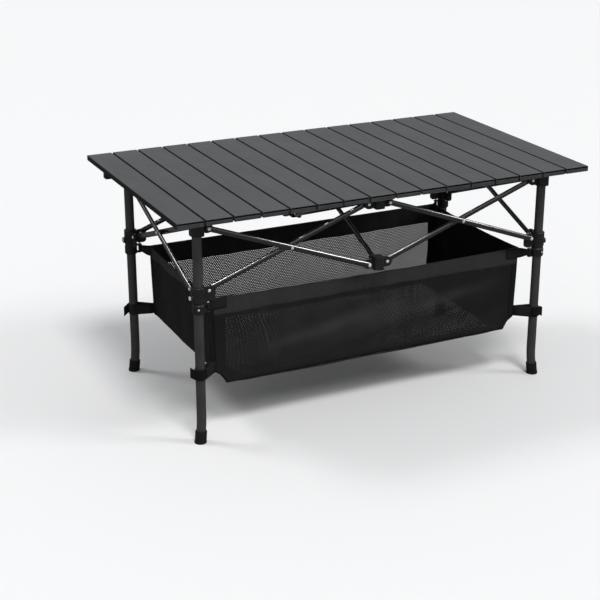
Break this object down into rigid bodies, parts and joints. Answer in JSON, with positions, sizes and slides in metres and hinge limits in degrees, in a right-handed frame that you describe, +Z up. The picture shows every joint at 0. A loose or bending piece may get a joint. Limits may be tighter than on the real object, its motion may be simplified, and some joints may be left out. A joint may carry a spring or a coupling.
{
  "type": "camp kitchen table",
  "caption": "Folding camp kitchen table: roll-up slat top on four tube legs joined by scissor braces, with a mesh storage basket below.",
  "frame": {"origin": "on the floor, under the middle of the tabletop", "axes": "+X along the long side, -Y is the front, +Z up"},
  "size_m": [0.943, 0.548, 0.5001],
  "materials": {
    "slat_aluminium": "satin powder coat over extruded aluminium",
    "leg_tube_metal": "satin black coated tube",
    "brace_metal": "semi-gloss black coated flat-oval tube",
    "moulded_plastic": "fine moulded grain",
    "foot_rubber": "matte",
    "button_steel": "polished steel",
    "basket_mesh": "open polyester mesh",
    "basket_cloth": "woven polyester"
  },
  "bodies": {
    "leg_front_left": {"leg_tube_front_left": "leg_tube_metal", "foot_cap_front_left": "foot_rubber", "top_bracket_front_left": "moulded_plastic", "basket_mesh_front": "basket_mesh", "basket_mesh_rear": "basket_mesh", "basket_end_left": "basket_cloth", "basket_end_right": "basket_cloth", "basket_floor": "basket_cloth"},
    "slider_front_left": {"slider_front_left": "moulded_plastic"},
    "button_front_left": {"release_button_front_left": "button_steel"},
    "bar_front_left_from_leg_top": {"brace_front_left_from_leg_top": "brace_metal"},
    "bar_front_left_from_slider": {"brace_front_left_from_slider": "brace_metal"},
    "leg_front_right": {"leg_tube_front_right": "leg_tube_metal", "foot_cap_front_right": "foot_rubber", "top_bracket_front_right": "moulded_plastic"},
    "slider_front_right": {"slider_front_right": "moulded_plastic"},
    "button_front_right": {"release_button_front_right": "button_steel"},
    "bar_front_right_from_leg_top": {"brace_front_right_from_leg_top": "brace_metal"},
    "bar_front_right_from_slider": {"brace_front_right_from_slider": "brace_metal"},
    "hub_front_upper": {"hub_front_upper": "moulded_plastic"},
    "hub_front_lower": {"hub_front_lower": "moulded_plastic"},
    "leg_rear_left": {"leg_tube_rear_left": "leg_tube_metal", "foot_cap_rear_left": "foot_rubber", "top_bracket_rear_left": "moulded_plastic"},
    "slider_rear_left": {"slider_rear_left": "moulded_plastic"},
    "button_rear_left": {"release_button_rear_left": "button_steel"},
    "bar_rear_left_from_leg_top": {"brace_rear_left_from_leg_top": "brace_metal"},
    "bar_rear_left_from_slider": {"brace_rear_left_from_slider": "brace_metal"},
    "leg_rear_right": {"leg_tube_rear_right": "leg_tube_metal", "foot_cap_rear_right": "foot_rubber", "top_bracket_rear_right": "moulded_plastic"},
    "slider_rear_right": {"slider_rear_right": "moulded_plastic"},
    "button_rear_right": {"release_button_rear_right": "button_steel"},
    "bar_rear_right_from_leg_top": {"brace_rear_right_from_leg_top": "brace_metal"},
    "bar_rear_right_from_slider": {"brace_rear_right_from_slider": "brace_metal"},
    "hub_rear_upper": {"hub_rear_upper": "moulded_plastic"},
    "hub_rear_lower": {"hub_rear_lower": "moulded_plastic"},
    "bar_left_from_front_top": {"brace_left_from_front_top": "brace_metal"},
    "bar_left_from_rear_top": {"brace_left_from_rear_top": "brace_metal"},
    "bar_centre_from_front_top": {"brace_centre_from_front_top": "brace_metal"},
    "bar_centre_from_rear_top": {"brace_centre_from_rear_top": "brace_metal"},
    "bar_right_from_front_top": {"brace_right_from_front_top": "brace_metal"},
    "bar_right_from_rear_top": {"brace_right_from_rear_top": "brace_metal"},
    "slat_01": {"slat_01": "slat_aluminium", "cord_tab": "moulded_plastic"},
    "slat_02": {"slat_02": "slat_aluminium"},
    "slat_03": {"slat_03": "slat_aluminium"},
    "slat_04": {"slat_04": "slat_aluminium"},
    "slat_05": {"slat_05": "slat_aluminium"},
    "slat_06": {"slat_06": "slat_aluminium"},
    "slat_07": {"slat_07": "slat_aluminium"},
    "slat_08": {"slat_08": "slat_aluminium"},
    "slat_09": {"slat_09": "slat_aluminium"},
    "slat_10": {"slat_10": "slat_aluminium"},
    "slat_11": {"slat_11": "slat_aluminium"},
    "slat_12": {"slat_12": "slat_aluminium"},
    "slat_13": {"slat_13": "slat_aluminium"},
    "slat_14": {"slat_14": "slat_aluminium"},
    "slat_15": {"slat_15": "slat_aluminium"},
    "slat_16": {"slat_16": "slat_aluminium"}
  },
  "joints": [
    {"name": "frame_fold", "type": "hinge", "parent": "leg_front_left", "child": "bar_front_left_from_leg_top", "pos_m": [-0.381, -0.202, 0.46], "axis": [0, 1, 0], "range_deg": [0, 57.5], "deforming": ["basket_mesh_front", "basket_mesh_rear", "basket_end_left", "basket_end_right", "basket_floor"]},
    {"name": "bar_front_left_from_slider_cross", "type": "hinge", "parent": "bar_front_left_from_leg_top", "child": "bar_front_left_from_slider", "pos_m": [-0.202, -0.202, 0.3945], "axis": [0, 1, 0], "range_deg": [-115, 0]},
    {"name": "hub_front_upper_level", "type": "hinge", "parent": "bar_front_left_from_slider", "child": "hub_front_upper", "pos_m": [-0.023, -0.202, 0.46], "axis": [0, 1, 0], "range_deg": [0, 57.5]},
    {"name": "hub_front_lower_level", "type": "hinge", "parent": "bar_front_left_from_leg_top", "child": "hub_front_lower", "pos_m": [-0.023, -0.202, 0.329], "axis": [0, 1, 0], "range_deg": [-57.5, 0]},
    {"name": "slider_front_left_level", "type": "hinge", "parent": "bar_front_left_from_slider", "child": "slider_front_left", "pos_m": [-0.381, -0.202, 0.329], "axis": [0, 1, 0], "range_deg": [0, 57.5]},
    {"name": "bar_front_right_from_slider_swing", "type": "hinge", "parent": "hub_front_upper", "child": "bar_front_right_from_slider", "pos_m": [0.023, -0.202, 0.46], "axis": [0, 1, 0], "range_deg": [0, 57.5]},
    {"name": "bar_front_right_from_leg_top_cross", "type": "hinge", "parent": "bar_front_right_from_slider", "child": "bar_front_right_from_leg_top", "pos_m": [0.202, -0.202, 0.3945], "axis": [0, 1, 0], "range_deg": [-115, 0]},
    {"name": "leg_front_right_level", "type": "hinge", "parent": "bar_front_right_from_leg_top", "child": "leg_front_right", "pos_m": [0.381, -0.202, 0.46], "axis": [0, 1, 0], "range_deg": [0, 57.5]},
    {"name": "slider_front_right_level", "type": "hinge", "parent": "bar_front_right_from_slider", "child": "slider_front_right", "pos_m": [0.381, -0.202, 0.329], "axis": [0, 1, 0], "range_deg": [-57.5, 0]},
    {"name": "bar_left_from_front_top_swing", "type": "hinge", "parent": "leg_front_left", "child": "bar_left_from_front_top", "pos_m": [-0.404, -0.179, 0.46], "axis": [-1, 0, 0], "range_deg": [0, 57.5]},
    {"name": "bar_left_from_rear_top_cross", "type": "hinge", "parent": "bar_left_from_front_top", "child": "bar_left_from_rear_top", "pos_m": [-0.404, 0, 0.3945], "axis": [-1, 0, 0], "range_deg": [-115, 0]},
    {"name": "leg_rear_left_level", "type": "hinge", "parent": "bar_left_from_rear_top", "child": "leg_rear_left", "pos_m": [-0.404, 0.179, 0.46], "axis": [-1, 0, 0], "range_deg": [0, 57.5]},
    {"name": "slider_rear_left_level", "type": "hinge", "parent": "bar_left_from_front_top", "child": "slider_rear_left", "pos_m": [-0.404, 0.179, 0.329], "axis": [-1, 0, 0], "range_deg": [-57.5, 0]},
    {"name": "bar_rear_left_from_leg_top_swing", "type": "hinge", "parent": "leg_rear_left", "child": "bar_rear_left_from_leg_top", "pos_m": [-0.381, 0.202, 0.46], "axis": [0, 1, 0], "range_deg": [0, 57.5]},
    {"name": "bar_rear_left_from_slider_cross", "type": "hinge", "parent": "bar_rear_left_from_leg_top", "child": "bar_rear_left_from_slider", "pos_m": [-0.202, 0.202, 0.3945], "axis": [0, 1, 0], "range_deg": [-115, 0]},
    {"name": "hub_rear_upper_level", "type": "hinge", "parent": "bar_rear_left_from_slider", "child": "hub_rear_upper", "pos_m": [-0.023, 0.202, 0.46], "axis": [0, 1, 0], "range_deg": [0, 57.5]},
    {"name": "hub_rear_lower_level", "type": "hinge", "parent": "bar_rear_left_from_leg_top", "child": "hub_rear_lower", "pos_m": [-0.023, 0.202, 0.329], "axis": [0, 1, 0], "range_deg": [-57.5, 0]},
    {"name": "bar_rear_right_from_slider_swing", "type": "hinge", "parent": "hub_rear_upper", "child": "bar_rear_right_from_slider", "pos_m": [0.023, 0.202, 0.46], "axis": [0, 1, 0], "range_deg": [0, 57.5]},
    {"name": "bar_rear_right_from_leg_top_cross", "type": "hinge", "parent": "bar_rear_right_from_slider", "child": "bar_rear_right_from_leg_top", "pos_m": [0.202, 0.202, 0.3945], "axis": [0, 1, 0], "range_deg": [-115, 0]},
    {"name": "leg_rear_right_level", "type": "hinge", "parent": "bar_rear_right_from_leg_top", "child": "leg_rear_right", "pos_m": [0.381, 0.202, 0.46], "axis": [0, 1, 0], "range_deg": [0, 57.5]},
    {"name": "slider_rear_right_level", "type": "hinge", "parent": "bar_rear_right_from_slider", "child": "slider_rear_right", "pos_m": [0.381, 0.202, 0.329], "axis": [0, 1, 0], "range_deg": [-57.5, 0]},
    {"name": "bar_centre_from_front_top_swing", "type": "hinge", "parent": "hub_front_upper", "child": "bar_centre_from_front_top", "pos_m": [0, -0.179, 0.46], "axis": [-1, 0, 0], "range_deg": [0, 57.5]},
    {"name": "bar_centre_from_rear_top_cross", "type": "hinge", "parent": "bar_centre_from_front_top", "child": "bar_centre_from_rear_top", "pos_m": [0, 0, 0.3945], "axis": [-1, 0, 0], "range_deg": [-115, 0]},
    {"name": "bar_right_from_front_top_swing", "type": "hinge", "parent": "leg_front_right", "child": "bar_right_from_front_top", "pos_m": [0.404, -0.179, 0.46], "axis": [-1, 0, 0], "range_deg": [0, 57.5]},
    {"name": "bar_right_from_rear_top_cross", "type": "hinge", "parent": "bar_right_from_front_top", "child": "bar_right_from_rear_top", "pos_m": [0.404, 0, 0.3945], "axis": [-1, 0, 0], "range_deg": [-115, 0]},
    {"name": "release_button_front_left_press", "type": "slide", "parent": "slider_front_left", "child": "button_front_left", "axis": [1, 0, 0], "range_m": [0, 0.0016], "stiffness_N_per_m": 600, "springref_m": -0.001},
    {"name": "release_button_front_right_press", "type": "slide", "parent": "slider_front_right", "child": "button_front_right", "axis": [-1, 0, 0], "range_m": [0, 0.0016], "stiffness_N_per_m": 600, "springref_m": -0.001},
    {"name": "release_button_rear_left_press", "type": "slide", "parent": "slider_rear_left", "child": "button_rear_left", "axis": [1, 0, 0], "range_m": [0, 0.0016], "stiffness_N_per_m": 600, "springref_m": -0.001},
    {"name": "release_button_rear_right_press", "type": "slide", "parent": "slider_rear_right", "child": "button_rear_right", "axis": [-1, 0, 0], "range_m": [0, 0.0016], "stiffness_N_per_m": 600, "springref_m": -0.001},
    {"name": "top_lift", "type": "slide", "parent": "leg_front_left", "child": "slat_01", "axis": [0, 0, 1], "range_m": [0, 0.25]},
    {"name": "top_roll", "type": "hinge", "parent": "slat_01", "child": "slat_02", "pos_m": [-0.41392, 0, 0.4991], "axis": [0, -1, 0], "range_deg": [0, 41.37]},
    {"name": "slat_03_roll", "type": "hinge", "parent": "slat_02", "child": "slat_03", "pos_m": [-0.35479, 0, 0.4991], "axis": [0, -1, 0], "range_deg": [0, 42.49]},
    {"name": "slat_04_roll", "type": "hinge", "parent": "slat_03", "child": "slat_04", "pos_m": [-0.29566, 0, 0.4991], "axis": [0, -1, 0], "range_deg": [0, 43.72]},
    {"name": "slat_05_roll", "type": "hinge", "parent": "slat_04", "child": "slat_05", "pos_m": [-0.23653, 0, 0.4991], "axis": [0, -1, 0], "range_deg": [0, 45.07]},
    {"name": "slat_06_roll", "type": "hinge", "parent": "slat_05", "child": "slat_06", "pos_m": [-0.17739, 0, 0.4991], "axis": [0, -1, 0], "range_deg": [0, 46.55]},
    {"name": "slat_07_roll", "type": "hinge", "parent": "slat_06", "child": "slat_07", "pos_m": [-0.11826, 0, 0.4991], "axis": [0, -1, 0], "range_deg": [0, 48.2]},
    {"name": "slat_08_roll", "type": "hinge", "parent": "slat_07", "child": "slat_08", "pos_m": [-0.05913, 0, 0.4991], "axis": [0, -1, 0], "range_deg": [0, 50.04]},
    {"name": "slat_09_roll", "type": "hinge", "parent": "slat_08", "child": "slat_09", "pos_m": [0, 0, 0.4991], "axis": [0, -1, 0], "range_deg": [0, 52.12]},
    {"name": "slat_10_roll", "type": "hinge", "parent": "slat_09", "child": "slat_10", "pos_m": [0.05913, 0, 0.4991], "axis": [0, -1, 0], "range_deg": [0, 54.49]},
    {"name": "slat_11_roll", "type": "hinge", "parent": "slat_10", "child": "slat_11", "pos_m": [0.11826, 0, 0.4991], "axis": [0, -1, 0], "range_deg": [0, 57.25]},
    {"name": "slat_12_roll", "type": "hinge", "parent": "slat_11", "child": "slat_12", "pos_m": [0.17739, 0, 0.4991], "axis": [0, -1, 0], "range_deg": [0, 60.5]},
    {"name": "slat_13_roll", "type": "hinge", "parent": "slat_12", "child": "slat_13", "pos_m": [0.23653, 0, 0.4991], "axis": [0, -1, 0], "range_deg": [0, 64.42]},
    {"name": "slat_14_roll", "type": "hinge", "parent": "slat_13", "child": "slat_14", "pos_m": [0.29566, 0, 0.4991], "axis": [0, -1, 0], "range_deg": [0, 69.3]},
    {"name": "slat_15_roll", "type": "hinge", "parent": "slat_14", "child": "slat_15", "pos_m": [0.35479, 0, 0.4991], "axis": [0, -1, 0], "range_deg": [0, 75.63]},
    {"name": "slat_16_roll", "type": "hinge", "parent": "slat_15", "child": "slat_16", "pos_m": [0.41392, 0, 0.4991], "axis": [0, -1, 0], "range_deg": [0, 84.44]}
  ],
  "couplings": [
    {"joint": "bar_front_left_from_slider_cross", "follows": "frame_fold", "ratio": -2},
    {"joint": "hub_front_upper_level", "follows": "frame_fold", "ratio": 1},
    {"joint": "hub_front_lower_level", "follows": "frame_fold", "ratio": -1},
    {"joint": "slider_front_left_level", "follows": "frame_fold", "ratio": 1},
    {"joint": "bar_front_right_from_slider_swing", "follows": "frame_fold", "ratio": 1},
    {"joint": "bar_front_right_from_leg_top_cross", "follows": "frame_fold", "ratio": -2},
    {"joint": "leg_front_right_level", "follows": "frame_fold", "ratio": 1},
    {"joint": "slider_front_right_level", "follows": "frame_fold", "ratio": -1},
    {"joint": "bar_left_from_front_top_swing", "follows": "frame_fold", "ratio": 1},
    {"joint": "bar_left_from_rear_top_cross", "follows": "frame_fold", "ratio": -2},
    {"joint": "leg_rear_left_level", "follows": "frame_fold", "ratio": 1},
    {"joint": "slider_rear_left_level", "follows": "frame_fold", "ratio": -1},
    {"joint": "bar_rear_left_from_leg_top_swing", "follows": "frame_fold", "ratio": 1},
    {"joint": "bar_rear_left_from_slider_cross", "follows": "frame_fold", "ratio": -2},
    {"joint": "hub_rear_upper_level", "follows": "frame_fold", "ratio": 1},
    {"joint": "hub_rear_lower_level", "follows": "frame_fold", "ratio": -1},
    {"joint": "bar_rear_right_from_slider_swing", "follows": "frame_fold", "ratio": 1},
    {"joint": "bar_rear_right_from_leg_top_cross", "follows": "frame_fold", "ratio": -2},
    {"joint": "leg_rear_right_level", "follows": "frame_fold", "ratio": 1},
    {"joint": "slider_rear_right_level", "follows": "frame_fold", "ratio": -1},
    {"joint": "bar_centre_from_front_top_swing", "follows": "frame_fold", "ratio": 1},
    {"joint": "bar_centre_from_rear_top_cross", "follows": "frame_fold", "ratio": -2},
    {"joint": "bar_right_from_front_top_swing", "follows": "frame_fold", "ratio": 1},
    {"joint": "bar_right_from_rear_top_cross", "follows": "frame_fold", "ratio": -2},
    {"joint": "slat_03_roll", "follows": "top_roll", "ratio": 1.0273},
    {"joint": "slat_04_roll", "follows": "top_roll", "ratio": 1.057},
    {"joint": "slat_05_roll", "follows": "top_roll", "ratio": 1.0895},
    {"joint": "slat_06_roll", "follows": "top_roll", "ratio": 1.1254},
    {"joint": "slat_07_roll", "follows": "top_roll", "ratio": 1.1652},
    {"joint": "slat_08_roll", "follows": "top_roll", "ratio": 1.2097},
    {"joint": "slat_09_roll", "follows": "top_roll", "ratio": 1.26},
    {"joint": "slat_10_roll", "follows": "top_roll", "ratio": 1.3174},
    {"joint": "slat_11_roll", "follows": "top_roll", "ratio": 1.384},
    {"joint": "slat_12_roll", "follows": "top_roll", "ratio": 1.4626},
    {"joint": "slat_13_roll", "follows": "top_roll", "ratio": 1.5574},
    {"joint": "slat_14_roll", "follows": "top_roll", "ratio": 1.6752},
    {"joint": "slat_15_roll", "follows": "top_roll", "ratio": 1.8284},
    {"joint": "slat_16_roll", "follows": "top_roll", "ratio": 2.0412}
  ]
}
